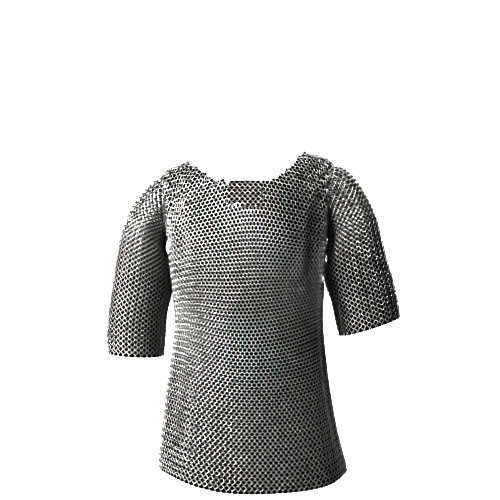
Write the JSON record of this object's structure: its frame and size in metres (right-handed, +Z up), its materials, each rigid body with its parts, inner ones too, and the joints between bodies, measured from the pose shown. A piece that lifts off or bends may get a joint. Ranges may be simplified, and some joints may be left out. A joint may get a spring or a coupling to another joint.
{
  "type": "chainmail hauberk",
  "caption": "Hip-length shirt of linked metal rings with elbow-length sleeves and a wide open neck, hanging as when worn.",
  "frame": {"origin": "midway between the two shoulder tops, where the wearer's shoulders carry the shirt", "axes": "+Z up, the front of the shirt faces -Y, +X is to the right as seen from the front"},
  "size_m": [0.6743, 0.3194, 0.7493],
  "materials": {
    "mail": "butted rings of bright drawn steel wire, lightly dulled",
    "insert_mail": "butted rings of drawn steel wire, a little browned by handling"
  },
  "bodies": {
    "root": {"body_front": "mail", "body_back": "mail", "neck_insert": "insert_mail", "sleeve_left": "mail", "sleeve_right": "mail"}
  },
  "joints": []
}
